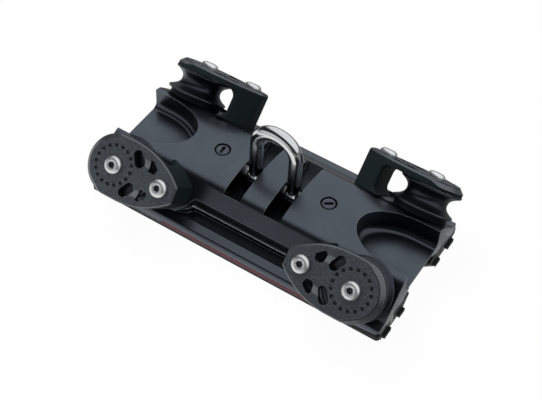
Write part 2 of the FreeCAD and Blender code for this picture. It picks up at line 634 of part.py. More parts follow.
def shackle_pin():
    """Straight pin across both slots, with a groove under each locking screw."""
    half = PIN_LENGTH / 2
    pin = rod_x(PIN_DIAMETER / 2, -half, half, 0, PIN_Z)
    for end in (-1, 1):
        x = end * LOCK_X
        width = LOCK_RADIUS + LOCK_HOLE_CLEARANCE
        ring = rod_x(PIN_DIAMETER, x - width, x + width, 0, PIN_Z)
        pin = pin.cut(ring.cut(rod_x(PIN_DIAMETER / 2 - PIN_GROOVE_DEPTH, x - width, x + width, 0, PIN_Z)))
    return pin


def lock_screws():
    """Slotted screws that hold the pin, nearly flush with the crown."""
    low = PIN_Z + PIN_DIAMETER / 2 - PIN_GROOVE_DEPTH
    top = CROWN_TOP - LOCK_RECESS
    screws = []
    for end, turn in zip((-1, 1), LOCK_SLOT_TURNS):
        screw = turned([(0, low), (LOCK_RADIUS, low), (LOCK_RADIUS, top - LOCK_BEVEL),
                        (LOCK_FACE_RADIUS, top), (0, top)])
        slot = box(-LOCK_RADIUS - 1, LOCK_RADIUS + 1, -LOCK_SLOT_WIDTH / 2, LOCK_SLOT_WIDTH / 2,
                   top - LOCK_SLOT_DEPTH, top + 1)
        slot.rotate(Vector(0, 0, 0), Vector(0, 0, 1), turn)
        screw = screw.cut(slot)
        screw.translate(Vector(end * LOCK_X, 0, 0))
        screws.append(screw)
    return Part.Compound(screws)


def save(name, shape):
    """Write one node, after checking that each of its solids is closed."""
    for solid in shape.Solids:
        if not solid.isValid() or solid.Volume <= 0:
            raise ValueError(name + " is not a closed solid")
    print(name, len(shape.Solids), "solids", round(shape.Volume), "mm3")
    shape.exportStep(os.path.join("parts", name + ".step"))


def main():
    os.makedirs("parts", exist_ok=True)
    save("car_body", car_body())
    for name, side in SIDES.items():
        save("ball_guide_" + name, guide(side))
        save("ball_row_" + name, ball_row(side))
    for name, (end, side) in CORNERS.items():
        save("end_turn_" + name, end_turn(end, side))
    save("guide_screws", guide_screws())
    save("shackle_bow", shackle_bow())
    save("shackle_pin", shackle_pin())
    save("pin_lock_screws", lock_screws())
    makers = {"cheek": cheek(), "base_cheek": base_cheek(), "sheave": sheave(), "sheave_bush": bush(),
              "sheave_hub": hub()}
    for kind, shape in makers.items():
        for name, (end, side) in CORNERS.items():
            save(kind + "_" + name, on_corner(shape, end, side))
    screws = []
    for end, side in CORNERS.values():
        for x in (0, POST_SCREW_X):
            screw = button_screw()
            screw.translate(Vector(x, 0, 0))
            screws.append(on_corner(screw, end, side))
    save("block_screws", Part.Compound(screws))


main()
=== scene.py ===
import bmesh
import bpy
import numpy as np
from mathutils import Matrix, Vector


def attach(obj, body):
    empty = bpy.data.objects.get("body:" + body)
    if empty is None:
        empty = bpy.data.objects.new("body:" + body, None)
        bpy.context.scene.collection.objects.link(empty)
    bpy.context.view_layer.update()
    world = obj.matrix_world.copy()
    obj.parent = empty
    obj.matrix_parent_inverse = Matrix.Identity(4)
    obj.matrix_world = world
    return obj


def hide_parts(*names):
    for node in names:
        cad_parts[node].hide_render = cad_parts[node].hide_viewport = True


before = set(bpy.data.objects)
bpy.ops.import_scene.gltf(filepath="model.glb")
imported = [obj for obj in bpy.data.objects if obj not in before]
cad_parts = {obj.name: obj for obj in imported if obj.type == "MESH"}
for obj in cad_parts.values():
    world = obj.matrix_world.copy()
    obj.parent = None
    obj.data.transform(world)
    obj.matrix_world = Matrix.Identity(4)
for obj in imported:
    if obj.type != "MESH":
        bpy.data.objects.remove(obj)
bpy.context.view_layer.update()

# %% [markdown]
# # A traveller car for a mainsheet track
#
# The imported model gives the frame: a long anodised body, four tilted control-line blocks and a bow shackle.
# This lesson dresses it. Shapes that the light picks out are built again as smooth surfaces worked out with
# numpy, and every part gets a finish made of shader nodes.

# %% [markdown]
# ## Camera
#
# The product picture is taken from above and to the right with a fairly long lens, so the car's two ends
# hardly differ in scale. The camera's place and turn were worked out from screws and edges whose real places
# are known. A matrix with the picture's right, up and towards-the-viewer directions as its columns says this
# without angles.

# %% Camera at the picture's angle
CAMERA_PLACE = (0.3654, -0.6402, 0.8952)
CAMERA_RIGHT = (0.84217, 0.53779, 0.03919)
CAMERA_UP = (-0.43369, 0.63236, 0.64190)
CAMERA_BACK = (0.32043, -0.55759, 0.76578)
LENS_MM = 84.864


def linked(name, data):
    """A new object that shows some data, linked to the scene."""
    item = bpy.data.objects.new(name, data)
    bpy.context.scene.collection.objects.link(item)
    return item


def from_columns(first, second, third, place=(0, 0, 0)):
    """The 4 by 4 matrix whose columns are three directions and a place."""
    columns = (first, second, third, place)
    return Matrix([[column[k] for column in columns] for k in range(3)] + [[0, 0, 0, 1]])


def add_camera():
    """A camera whose matrix has the three directions and the place as its columns."""
    data = bpy.data.cameras.new("picture_camera")
    data.lens = LENS_MM
    data.sensor_width = 36.0
    data.clip_start = 0.01
    camera = linked("picture_camera", data)
    camera.matrix_world = from_columns(CAMERA_RIGHT, CAMERA_UP, CAMERA_BACK, CAMERA_PLACE)
    bpy.context.scene.camera = camera
    return camera


print("camera stands at", tuple(round(value, 3) for value in add_camera().matrix_world.translation))

# %% [markdown]
# ## Studio
#
# The picture is a cut-out on white. A matt floor takes the contact shadow, and a grey sky with three soft lamps
# lights the car at a plain level: the key from behind on the left, a weaker one in front and a faint one on the
# right end. Polished metal looks like what it mirrors, so mirror rays meet a made-up surround: a white panel, a
# dark gap and a dimmer white in the sky, and a floor that darkens behind the car and past its right end. The
# camera sees the surroundings as white. Neither puts more light on the car.

# %% Helpers for shader nodes
def shader_node(tree, kind, **values):
    """A shader node of a kind, with its settings and unlinked inputs given by name."""
    node = tree.nodes.new("ShaderNode" + kind)
    for name, value in values.items():
        if name in node.inputs:
            node.inputs[name].default_value = value
        else:
            setattr(node, name, value)
    return node


def feed(tree, value, socket):
    """Link an output socket to an input, or set the input to a number or a colour."""
    if isinstance(value, bpy.types.NodeSocket):
        tree.links.new(value, socket)
    else:
        socket.default_value = value


def worked(tree, operation, first, second):
    """A Math node on two values, each a number or an output socket. Gives its output."""
    node = shader_node(tree, "Math", operation=operation)
    feed(tree, first, node.inputs[0])
    feed(tree, second, node.inputs[1])
    return node.outputs[0]


def ranged(tree, value, low, high, new_low, new_high, blend="LINEAR"):
    """A Map Range node, clamped, straight or with smooth ends. Gives its output."""
    node = shader_node(tree, "MapRange", clamp=True, interpolation_type=blend)
    for socket, number in zip(("From Min", "From Max", "To Min", "To Max"), (low, high, new_low, new_high)):
        node.inputs[socket].default_value = number
    feed(tree, value, node.inputs["Value"])
    return node.outputs[0]


def mixed(tree, share, first, second):
    """A Mix Shader node on two shader outputs. Gives its output."""
    node = shader_node(tree, "MixShader")
    for value, socket in zip((share, first, second), node.inputs):
        feed(tree, value, socket)
    return node.outputs[0]


def object_axes(tree):
    """X, Y and Z outputs of the place on the object."""
    place = shader_node(tree, "TexCoord")
    axes = shader_node(tree, "SeparateXYZ")
    feed(tree, place.outputs["Object"], axes.inputs[0])
    return axes.outputs


def ray_kinds(tree):
    """Two outputs: whether a ray comes straight from the camera, and whether it comes by a mirror."""
    ray = shader_node(tree, "LightPath").outputs
    return ray["Is Camera Ray"], worked(tree, "MAXIMUM", ray["Is Glossy Ray"], ray["Is Transmission Ray"])


print("node helpers ready")

# %% Sky
SKY_LEVEL = 0.40
PANEL_SIDE = (0.36, 0.73, 0.58)
# Each edge holds a low and a high value, then the brightness at the one and at the other.
PANEL_EDGE = (0.17, 0.41, 0.02, 1.0)
GAP_END = (-0.24, -0.50, 0.0, 0.80)
HORIZON = (0.01, 0.13, 0.10, 1.0)


def add_sky():
    """Grey sky for matt light. The camera sees white. Mirror rays see a white panel overhead and behind, a dark
    gap in front of it, and a dimmer white past the gap. All three follow from how far a direction points to the
    panel's side, which is its dot product with one fixed direction. All fade near the horizon."""
    world = bpy.data.worlds.new("studio_sky")
    bpy.context.scene.world = world
    world.use_nodes = True
    tree = world.node_tree
    tree.nodes.clear()
    by_camera, by_mirror = ray_kinds(tree)
    direction = shader_node(tree, "TexCoord")
    toward = shader_node(tree, "VectorMath", operation="DOT_PRODUCT")
    toward.inputs[1].default_value = PANEL_SIDE
    height = shader_node(tree, "SeparateXYZ")
    feed(tree, direction.outputs["Generated"], toward.inputs[0])
    feed(tree, direction.outputs["Generated"], height.inputs[0])
    panel = ranged(tree, toward.outputs["Value"], *PANEL_EDGE, "SMOOTHSTEP")
    past_gap = ranged(tree, toward.outputs["Value"], *GAP_END, "SMOOTHSTEP")
    above = ranged(tree, height.outputs["Z"], *HORIZON, "SMOOTHSTEP")
    grey = shader_node(tree, "Background", Color=(0.95, 0.975, 1, 1), Strength=SKY_LEVEL)
    tent = shader_node(tree, "Background", Color=(0.96, 0.98, 1, 1))
    white = shader_node(tree, "Background", Color=(1, 1, 1, 1), Strength=1.0)
    feed(tree, worked(tree, "MULTIPLY", worked(tree, "ADD", panel, past_gap), above), tent.inputs["Strength"])
    unseen = mixed(tree, by_mirror, grey.outputs[0], tent.outputs[0])
    out = shader_node(tree, "OutputWorld")
    feed(tree, mixed(tree, by_camera, unseen, white.outputs[0]), out.inputs["Surface"])
    return world


print("world:", add_sky().name)

# %% Floor
FLOOR_HALF = 3.0
FLOOR_WHITE = 0.97
FLOOR_FADE = (0.06, 0.09, 1.0, 0.22)
RIGHT_START = 0.08


def add_floor(half):
    """A matt square under the car. Camera and mirror rays see it as nearly white, shadow and all. For mirror
    rays the white fades to grey with the greater of y and x - RIGHT_START."""
    mesh = bpy.data.meshes.new("studio_floor")
    corners = [(-half, -half, 0), (half, -half, 0), (half, half, 0), (-half, half, 0)]
    mesh.from_pydata(corners, [], [(0, 1, 2, 3)])
    floor = linked("studio_floor", mesh)
    material = bpy.data.materials.new("pale_floor")
    material.use_nodes = True
    tree = material.node_tree
    tree.nodes.clear()
    matt = shader_node(tree, "BsdfDiffuse", Color=(0.82, 0.82, 0.82, 1))
    white = shader_node(tree, "Emission", Color=(1, 1, 1, 1))
    by_camera, by_mirror = ray_kinds(tree)
    x, y, _ = object_axes(tree)
    away = worked(tree, "MAXIMUM", worked(tree, "SUBTRACT", x, RIGHT_START), y)
    fade = ranged(tree, away, *FLOOR_FADE, "SMOOTHSTEP")
    feed(tree, worked(tree, "MAXIMUM", fade, by_camera), white.inputs["Strength"])
    share = worked(tree, "MULTIPLY", worked(tree, "MAXIMUM", by_mirror, by_camera), FLOOR_WHITE)
    out = shader_node(tree, "OutputMaterial")
    feed(tree, mixed(tree, share, matt.outputs[0], white.outputs[0]), out.inputs["Surface"])
    mesh.materials.append(material)
    return floor


print("floor:", add_floor(FLOOR_HALF).name)

# %% Lamps
AIM = Vector((0.0, 0.0, 0.03))


def add_lamp(name, place, width, height, watts):
    """A soft rectangular lamp at a place, turned towards the car. Mirrors see the sky's panel in its stead."""
    data = bpy.data.lights.new(name, "AREA")
    data.shape = "RECTANGLE"
    data.size = width
    data.size_y = height
    data.energy = watts
    lamp = linked(name, data)
    lamp.location = place
    lamp.rotation_euler = (Vector(place) - AIM).to_track_quat("Z", "Y").to_euler()
    lamp.visible_glossy = False


add_lamp("key_lamp", (-0.70, 0.35, 1.00), 0.7, 0.7, 11.0)
add_lamp("side_lamp", (1.15, 0.05, 0.40), 0.5, 0.4, 0.4)
add_lamp("front_lamp", (-0.75, -1.0, 0.8), 0.7, 0.5, 3.5)
bpy.context.scene.view_settings.view_transform = "Standard"

# %% [markdown]
# ## Effects that several finishes share
#
# Real metal edges catch the light because they are never perfectly sharp, blasted or moulded skins have a fine
# grain and a lathe leaves rings. Recesses get painted shade: their colour is darkened deep in the piece's own
# corners. These effects return on many parts, so each is a node group with named inputs. The groups put out
# only normals and masks. The shaders stay in the materials.

# %% Helpers for node groups
BUMP_HEIGHT = 0.0001


def new_group(name, inputs, outputs):
    """An empty node group with sockets given as {name: (kind, value)} and {name: kind}."""
    group = bpy.data.node_groups.new(name, "ShaderNodeTree")
    for socket, (kind, value) in inputs.items():
        made = group.interface.new_socket(socket, in_out="INPUT", socket_type="NodeSocket" + kind)
        if value is not None:
            made.default_value = value
    for socket, kind in outputs.items():
        group.interface.new_socket(socket, in_out="OUTPUT", socket_type="NodeSocket" + kind)
    return group, group.nodes.new("NodeGroupInput"), group.nodes.new("NodeGroupOutput")


def noise(tree, vector, scale, detail, roughness):
    """A Noise Texture on a vector. The scale is a number or an output socket. Gives its value output."""
    node = shader_node(tree, "TexNoise", Detail=detail, Roughness=roughness)
    feed(tree, scale, node.inputs["Scale"])
    feed(tree, vector, node.inputs["Vector"])
    return node.outputs["Fac"]


def add_bump(group, height, given, out):
    """Bump the group's given Normal by a height, at its given Depth, and put it out."""
    bump = shader_node(group, "Bump", Distance=BUMP_HEIGHT)
    feed(group, height, bump.inputs["Height"])
    feed(group, given.outputs["Depth"], bump.inputs["Strength"])
    feed(group, given.outputs["Normal"], bump.inputs["Normal"])
    feed(group, bump.outputs["Normal"], out.inputs["Normal"])


print("group helpers ready")

# %% Group: rounded edges
def make_rounded_edges():
    """Normal turned near edges within a radius, and a mask that is 1 where it was turned most."""
    group, given, out = new_group("rounded_edges", {"Radius": ("Float", 0.0004)},
                                  {"Normal": "Vector", "Edge": "Float"})
    bevel = shader_node(group, "Bevel", samples=5)
    geometry = shader_node(group, "NewGeometry")
    dot = shader_node(group, "VectorMath", operation="DOT_PRODUCT")
    feed(group, given.outputs["Radius"], bevel.inputs["Radius"])
    feed(group, bevel.outputs["Normal"], dot.inputs[0])
    feed(group, geometry.outputs["Normal"], dot.inputs[1])
    feed(group, bevel.outputs["Normal"], out.inputs["Normal"])
    feed(group, ranged(group, dot.outputs["Value"], 0.995, 0.80, 0.0, 1.0), out.inputs["Edge"])
    return group


ROUNDED_EDGES = make_rounded_edges()
print("group:", ROUNDED_EDGES.name)

# %% Group: blasted grain
CLOUD_SCALE = 28.0


def make_grain():
    """Fine bumps from noise at a given scale, the same noise as specks, and a slow cloud from coarse noise."""
    group, given, out = new_group(
        "blasted_grain",
        {"Scale": ("Float", 2500.0), "Depth": ("Float", 0.1), "Normal": ("Vector", None)},
        {"Normal": "Vector", "Speck": "Float", "Cloud": "Float"})
    place = shader_node(group, "TexCoord").outputs["Object"]
    fine = noise(group, place, given.outputs["Scale"], 3.0, 0.65)
    coarse = noise(group, place, CLOUD_SCALE, 3.0, 0.55)
    add_bump(group, fine, given, out)
    feed(group, ranged(group, fine, 0.3, 0.7, 0.0, 1.0), out.inputs["Speck"])
    feed(group, ranged(group, coarse, 0.3, 0.7, 0.0, 1.0), out.inputs["Cloud"])
    return group


GRAIN = make_grain()
print("group:", GRAIN.name)

# %% Group: turning marks
def make_turning():
    """Fine rings left by a lathe tool: noise stretched along the piece's own UV map, whose V runs along the
    profile."""
    group, given, out = new_group(
        "turning_marks",
        {"Rings": ("Float", 400.0), "Depth": ("Float", 0.1), "Normal": ("Vector", None)},
        {"Normal": "Vector"})
    place = shader_node(group, "TexCoord")
    split = shader_node(group, "SeparateXYZ")
    joined = shader_node(group, "CombineXYZ")
    feed(group, place.outputs["UV"], split.inputs[0])
    feed(group, worked(group, "MULTIPLY", split.outputs["X"], 3.0), joined.inputs["X"])
    feed(group, worked(group, "MULTIPLY", split.outputs["Y"], given.outputs["Rings"]), joined.inputs["Y"])
    add_bump(group, noise(group, joined.outputs[0], 1.0, 2.0, 0.6), given, out)
    return group


TURNING = make_turning()
print("group:", TURNING.name)

# %% Group: painted shade in recesses
def make_recess_shade():
    """A mask for painted shade: it falls from 1 on open surfaces to 0 deep in the piece's own corners."""
    group, given, out = new_group("painted_recess_shade", {"Distance": ("Float", 0.02)}, {"Open": "Float"})
    corner = shader_node(group, "AmbientOcclusion", samples=6, only_local=True)
    feed(group, given.outputs["Distance"], corner.inputs["Distance"])
    feed(group, ranged(group, corner.outputs["AO"], 0.35, 0.9, 0.0, 1.0), out.inputs["Open"])
    return group


RECESS_SHADE = make_recess_shade()
print("group:", RECESS_SHADE.name)

# %% [markdown]
# ## Finishes
#
# Anodised aluminium is a dark dye under a hard clear skin: mostly metal, satin, a little cool. Its edges get a
# painted highlight, a lighter colour mixed in along them, and its recesses painted shade. A recipe function
# sets up that layering with the shared groups. Each finish calls it with its own colours, gloss and grain. Two
# finishes then get painted light of their own in a small region: a painted highlight, a thin near-white line
# along the body's pockets, and a painted dark reflection on the bow's legs, which stand among dark walls.
# region: a bare bright lip along the body's pockets, and dark legs on the bow, which stand among dark walls.

# %% Recipe for a grained finish
RING_DEPTH = 0.06
GLOSS_SWING = 0.04


def colour_mix(tree, first, second, factor):
    """A colour mix; each colour is a tuple or an output socket. Gives its output."""
    node = shader_node(tree, "Mix", data_type="RGBA")
    ends = [socket for socket in node.inputs if socket.name in "AB" and socket.type == "RGBA"]
    for socket, colour in zip(ends, (first, second)):
        feed(tree, (*colour, 1) if isinstance(colour, tuple) else colour, socket)
    feed(tree, factor, node.inputs["Factor"])
    return [socket for socket in node.outputs if socket.type == "RGBA"][0]


def shade(colour, factor):
    """The colour times a factor."""
    return tuple(factor * part for part in colour)


def grained_finish(name, colour, edge_highlight, metallic, roughness, grain_scale, grain_depth, edge_radius,
                   specular=0.35, recess_shade=0.0, recess_shade_reach=0.022, clouding=0.07, speckle=0.0, rings=0):
    """Material whose colour is clouded by a share each way, then darkened by a share in its specks, darkened by
    a share in its recesses as painted shade, and mixed at edges towards the edge colour as a painted highlight.
    Its normal is rounded at edges, marked by lathe rings if there are any, and grained. The specks also stir the
    roughness."""
    material = bpy.data.materials.new(name)
    material.use_nodes = True
    tree = material.node_tree
    shader = tree.nodes["Principled BSDF"]
    shader.inputs["Metallic"].default_value = metallic
    shader.inputs["Specular IOR Level"].default_value = specular
    edges = shader_node(tree, "Group", node_tree=ROUNDED_EDGES, Radius=edge_radius)
    normal = edges.outputs["Normal"]
    if rings:
        lathe = shader_node(tree, "Group", node_tree=TURNING, Rings=rings, Depth=RING_DEPTH)
        feed(tree, normal, lathe.inputs["Normal"])
        normal = lathe.outputs["Normal"]
    grain = shader_node(tree, "Group", node_tree=GRAIN, Scale=grain_scale, Depth=grain_depth)
    feed(tree, normal, grain.inputs["Normal"])
    feed(tree, grain.outputs["Normal"], shader.inputs["Normal"])
    speck = grain.outputs["Speck"]
    skin = colour_mix(tree, shade(colour, 1 - clouding), shade(colour, 1 + clouding), grain.outputs["Cloud"])
    if speckle:
        skin = colour_mix(tree, shade(colour, 1 - speckle), skin, ranged(tree, speck, 0, 1, 0.1, 1))
    # Painted shade: the colour darkens in the piece's own recesses by the recess share.
    if recess_shade:
        corner = shader_node(tree, "Group", node_tree=RECESS_SHADE, Distance=recess_shade_reach)
        skin = colour_mix(tree, shade(colour, 1 - recess_shade), skin, corner.outputs["Open"])
    # Painted highlight: the colour is mixed towards the edge colour along edges.
    skin = colour_mix(tree, skin, edge_highlight, edges.outputs["Edge"])
    feed(tree, skin, shader.inputs["Base Color"])
    gloss = ranged(tree, speck, 0, 1, roughness - GLOSS_SWING, roughness + GLOSS_SWING)
    feed(tree, gloss, shader.inputs["Roughness"])
    return material


def paint_light_in_region(material, colour, bands):
    """Paints light or shade into the skin: mixes it towards a colour inside a region. A band is named by an axis
    and holds four distances from the plane across it: the tint rises from the first to the second and falls from
    the third to the fourth. With several bands their shares are multiplied."""
    tree = material.node_tree
    skin = tree.nodes["Principled BSDF"].inputs["Base Color"]
    axes = object_axes(tree)
    inside = 1.0
    for axis, (start, full, fading, end) in bands.items():
        distance = worked(tree, "ABSOLUTE", axes[axis], 0)
        for outer, inner in ((start, full), (end, fading)):
            inside = worked(tree, "MULTIPLY", inside, ranged(tree, distance, outer, inner, 0, 1))
    feed(tree, colour_mix(tree, skin.links[0].from_socket, colour, inside), skin)


print("recipe ready")

# %% Finishes of the body, the cheeks and the sheaves
# In each call: name, colour, colour of the painted highlight at edges, metallic, roughness, grain scale, grain
# depth, edge radius.
# Painted shade: the body and the cheeks darken in their own recesses and dimples.
BODY_FINISH = grained_finish(
    "satin_anodised_body", (0.088, 0.100, 0.117), (0.34, 0.365, 0.385), 0.97, 0.28, 2600, 0.10, 0.0005,
    recess_shade=0.88, recess_shade_reach=0.027)
# Painted highlight: a thin near-white line along the body's pockets, where the ledge catches the light.
paint_light_in_region(BODY_FINISH, (0.90, 0.93, 0.95),
            {"Y": (0.0491, 0.0494, 0.0505, 0.0508), "Z": (0.0220, 0.0223, 0.0235, 0.0238)})
CHEEK_FINISH = grained_finish(
    "grained_cheek", (0.093, 0.108, 0.124), (0.22, 0.235, 0.245), 0.25, 0.45, 620, 1.0, 0.0005,
    recess_shade=0.95, recess_shade_reach=0.007, clouding=0.12, speckle=0.8)
# Painted highlight: the bevel's finish is lighter than the face's, with near-white edges.
BEVEL_HIGHLIGHT_FINISH = grained_finish(
    "machined_bevel_painted_highlight", (0.118, 0.129, 0.140), (0.85, 0.89, 0.93), 0.80, 0.34, 2000, 0.2, 0.0007)
WEB_FINISH = grained_finish(
    "smooth_window_web", (0.20, 0.22, 0.23), (0.25, 0.26, 0.27), 0.1, 0.45, 2600, 0.05, 0.0003)
POST_FINISH = grained_finish(
    "smooth_black_post", (0.014, 0.020, 0.022), (0.04, 0.048, 0.048), 0.0, 0.5, 2600, 0.06, 0.0004,
    specular=0.04)
# Painted shade: the base cheek under each sheave is near black, standing for the dark gap below the sheave.
BASE_SHADE_FINISH = grained_finish(
    "base_cheek_painted_shade", (0.007, 0.009, 0.010), (0.02, 0.023, 0.025), 0.1, 0.45, 2600, 0.08, 0.0004,
    specular=0.05)
SHEAVE_FINISH = grained_finish(
    "dark_turned_sheave", (0.040, 0.046, 0.056), (0.40, 0.42, 0.44), 0.9, 0.33, 2600, 0.04, 0.0007,
    specular=0.5, rings=70)
print("finishes:", len(bpy.data.materials))

# %% Finishes of the guides, the steel and the small parts
GUIDE_FINISH = grained_finish(
    "moulded_guide", (0.008, 0.009, 0.010), (0.02, 0.02, 0.022), 0.0, 0.5, 1800, 0.15, 0.0004, specular=0.2)
BALL_FINISH = grained_finish(
    "bearing_ball", (0.62, 0.58, 0.48), (0.62, 0.58, 0.48), 0.0, 0.25, 900, 0.02, 0.0001, specular=0.5)
STEEL_FINISH = grained_finish(
    "screw_steel", (0.80, 0.81, 0.80), (0.85, 0.85, 0.85), 1.0, 0.42, 4000, 0.03, 0.0002, specular=0.5)
# Painted shade: the hexagon sockets get a near-black finish.
SOCKET_SHADE = grained_finish(
    "painted_socket_shade", (0.05, 0.052, 0.055), (0.2, 0.2, 0.2), 0.6, 0.45, 3000, 0.05, 0.0002)
POLISHED_FINISH = grained_finish(
    "polished_bow", (0.66, 0.675, 0.675), (0.62, 0.63, 0.63), 1.0, 0.15, 700, 0.004, 0.0002, specular=0.5)
# Painted dark reflection: the legs between the eyes and the bend are darkened, for the dark walls they mirror.
paint_light_in_region(POLISHED_FINISH, (0.20, 0.205, 0.205), {"Z": (0.0470, 0.0500, 0.0620, 0.0790)})
RING_FINISH = grained_finish(
    "bearing_ring", (0.06, 0.055, 0.05), (0.09, 0.085, 0.08), 0.0, 0.45, 2200, 0.1, 0.0002)
HUB_FINISH = grained_finish("hub_steel", (0.45, 0.45, 0.44), (0.6, 0.6, 0.6), 1.0, 0.35, 3000, 0.06, 0.0002)
ENAMEL_FINISH = grained_finish(
    "dark_red_enamel", (0.115, 0.006, 0.020), (0.3, 0.05, 0.07), 0.0, 0.45, 2600, 0.05, 0.0001)
# Painted shade: the lock screws darken in their own recesses.
LOCK_FINISH = grained_finish(
    "dark_lock_screw", (0.085, 0.095, 0.115), (0.12, 0.13, 0.14), 0.8, 0.36, 2600, 0.08, 0.0002, recess_shade=0.9)
print("finishes:", len(bpy.data.materials))

# %% [markdown]
# ## Helpers for smooth surfaces
#
# Every new piece starts as a grid of points: rows along a profile, columns around it. Whole numpy arrays give
# the points and the faces in one go, and the row and column numbers give a UV map that follows the surface.
# Rows that shrink to a point are welded afterwards, so that poles and seams are closed.

# %% Grids to meshes
MM = 0.001


def grid_faces(rows, columns, wrap):
    """Faces of a grid: (i, j), (i, j+1), (i+1, j+1), (i+1, j). With wrap the last column meets the first."""
    i = np.arange(rows - 1)[:, None]
    j = np.arange(columns if wrap else columns - 1)[None, :]
    after = (j + 1) % columns
    corners = (i * columns + j, i * columns + after, (i + 1) * columns + after, (i + 1) * columns + j)
    return np.stack(np.broadcast_arrays(*corners), -1).reshape(-1, 4)


def grid_map(rows, columns, wrap):
    """UV of every face corner: U is the column and V is the row, each as a share of the whole."""
    i = np.arange(rows - 1)[:, None]
    j = np.arange(columns if wrap else columns - 1)[None, :]
    i, j = np.broadcast_arrays(i, j)
    u = np.stack((j, j + 1, j + 1, j), -1) / columns
    v = np.stack((i, i, i + 1, i + 1), -1) / (rows - 1)
    return np.stack((u, v), -1).reshape(-1, 2)


def welded(item, angle=38.0):
    """Close seams and poles, turn faces outwards, and shade smooth except over edges sharper than an angle."""
    mesh = item.data
    work = bmesh.new()
    work.from_mesh(mesh)
    bmesh.ops.remove_doubles(work, verts=work.verts, dist=2e-6)
    bmesh.ops.recalc_face_normals(work, faces=work.faces)
    work.to_mesh(mesh)
    work.free()
    mesh.polygons.foreach_set("use_smooth", np.ones(len(mesh.polygons), bool))
    mesh.set_sharp_from_angle(angle=np.radians(angle))
    return item


def surface(name, points, wrap=True, capped=False):
    """Object from a grid of points in millimetres. Capped, its first and last rows are filled as flat faces."""
    rows, columns = points.shape[:2]
    faces = grid_faces(rows, columns, wrap)
    mesh = bpy.data.meshes.new(name)
    lids = []
    if capped:
        lids = [list(range(columns))[::-1], [(rows - 1) * columns + k for k in range(columns)]]
    mesh.from_pydata((points.reshape(-1, 3) * MM).tolist(), [], faces.tolist() + lids)
    uv = np.zeros((len(mesh.loops), 2))
    uv[:len(faces) * 4] = grid_map(rows, columns, wrap)
    mesh.uv_layers.new(name="profile_map").data.foreach_set("uv", uv.ravel())
    return welded(linked(name, mesh))


print("grid helpers ready")

# %% Turned, pushed and joined shapes
def directions(angle):
    """Unit vectors at angles: (cos a, sin a)."""
    return np.stack((np.cos(angle), np.sin(angle)), -1)


def turned(name, profile, steps=96):
    """Surface of revolution about Z: each (r, z) of the profile becomes (r cos a, r sin a, z)."""
    r, z = np.asarray(profile, float).T[:, :, None]
    turn = np.linspace(0, 2 * np.pi, steps, endpoint=False)
    return surface(name, np.stack((r * np.cos(turn), r * np.sin(turn), np.repeat(z, steps, 1)), -1))


def prism(name, path, low, high):
    """A flat path pushed from one height to another, with both ends filled."""
    rows = [np.column_stack((path, np.full(len(path), level))) for level in (low, high)]
    return surface(name, np.stack(rows), capped=True)


def rounded_path(corners, radius, steps=10):
    """Path round a convex ring of corners, swept by a circle: at each corner the normal fans from edge to
    edge."""
    ring = np.asarray(corners, float)
    edge = np.roll(ring, -1, 0) - ring
    facing = np.arctan2(-edge[:, 0], edge[:, 1])
    before = np.roll(facing, 1)
    swing = (facing - before) % (2 * np.pi)
    turn = before[:, None] + swing[:, None] * np.linspace(0, 1, steps)[None, :]
    return (ring[:, None, :] + radius * directions(turn)).reshape(-1, 2)


def combined(piece, tool, how):
    """The piece joined with, or cut by, a closed tool. The tool is used up."""
    step = piece.modifiers.new("shape", "BOOLEAN")
    step.operation = how
    step.object = tool
    step.solver = "EXACT"
    mesh = bpy.data.meshes.new_from_object(piece.evaluated_get(bpy.context.evaluated_depsgraph_get()))
    piece.modifiers.clear()
    piece.data = mesh
    bpy.data.objects.remove(tool)
    return piece


def merged(name, pieces):
    """One object from the faces of several, which are used up."""
    work = bmesh.new()
    for piece in pieces:
        work.from_mesh(piece.data)
    mesh = bpy.data.meshes.new(name)
    work.to_mesh(mesh)
    work.free()
    for piece in pieces:
        bpy.data.objects.remove(piece)
    return linked(name, mesh)


print("shape helpers ready")

# %% Dressing a piece
def dressed(piece, finish, body, slot, *nodes):
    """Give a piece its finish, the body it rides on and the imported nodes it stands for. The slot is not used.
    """
    piece.data.materials.clear()
    piece.data.materials.append(finish)
    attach(piece, body)
    if nodes:
        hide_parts(*nodes)
    return piece


def face_values(piece, what):
    """The center or the normal of every face, as three rows."""
    values = np.zeros(len(piece.data.polygons) * 3)
    piece.data.polygons.foreach_get(what, values)
    return values.reshape(-1, 3).T


def add_finishes(piece, parts, *finishes):
    """Further finishes for a dressed piece, whose first one is number 0. Parts gives each face its number."""
    for finish in finishes:
        piece.data.materials.append(finish)
    piece.data.polygons.foreach_set("material_index", np.asarray(parts, np.int32))


print("dressing helpers ready")

# %% [markdown]
# ## Where the four blocks stand
#
# All four blocks are alike. Each is drawn once in its own frame: X from the sheave's axle to the post, Z out of
# the cheek's face. A matrix then carries it to a corner of the car. It only turns and shifts, so no face is
# turned inside out.

# %% Places of the blocks
AXLE = (120.0, 73.857, 56.957)
CORNERS = {"near_left": (-1, -1), "near_right": (1, -1), "far_left": (-1, 1), "far_right": (1, 1)}


def corner_matrix(end, side):
    """Columns: along the block, across it, out of its face, and the axle's place on the face, in metres."""
    out = Vector((0, side, 1)).normalized()
    along = Vector((-end, 0, 0))
    return from_columns(along, out.cross(along), out, Vector((end * AXLE[0], side * AXLE[1], AXLE[2])) * MM)


def at_corner(master, name, corner):
    """A copy of a piece drawn in the block's frame, with its mesh carried to a corner."""
    copy = linked(name, master.data.copy())
    copy.data.transform(corner_matrix(*CORNERS[corner]))
    return copy


print("blocks at", sorted(CORNERS))

# %% [markdown]
# ## Sheaves
#
# A sheave is turned on a lathe: thin square rims and a deep round groove for the rope. The groove's radius
# grows from the floor as a power of the distance from the middle, which is nearly flat at the floor and steep
# at the rims, as the rope wears it. The profile is closed round the bore, so the solid is a ring.

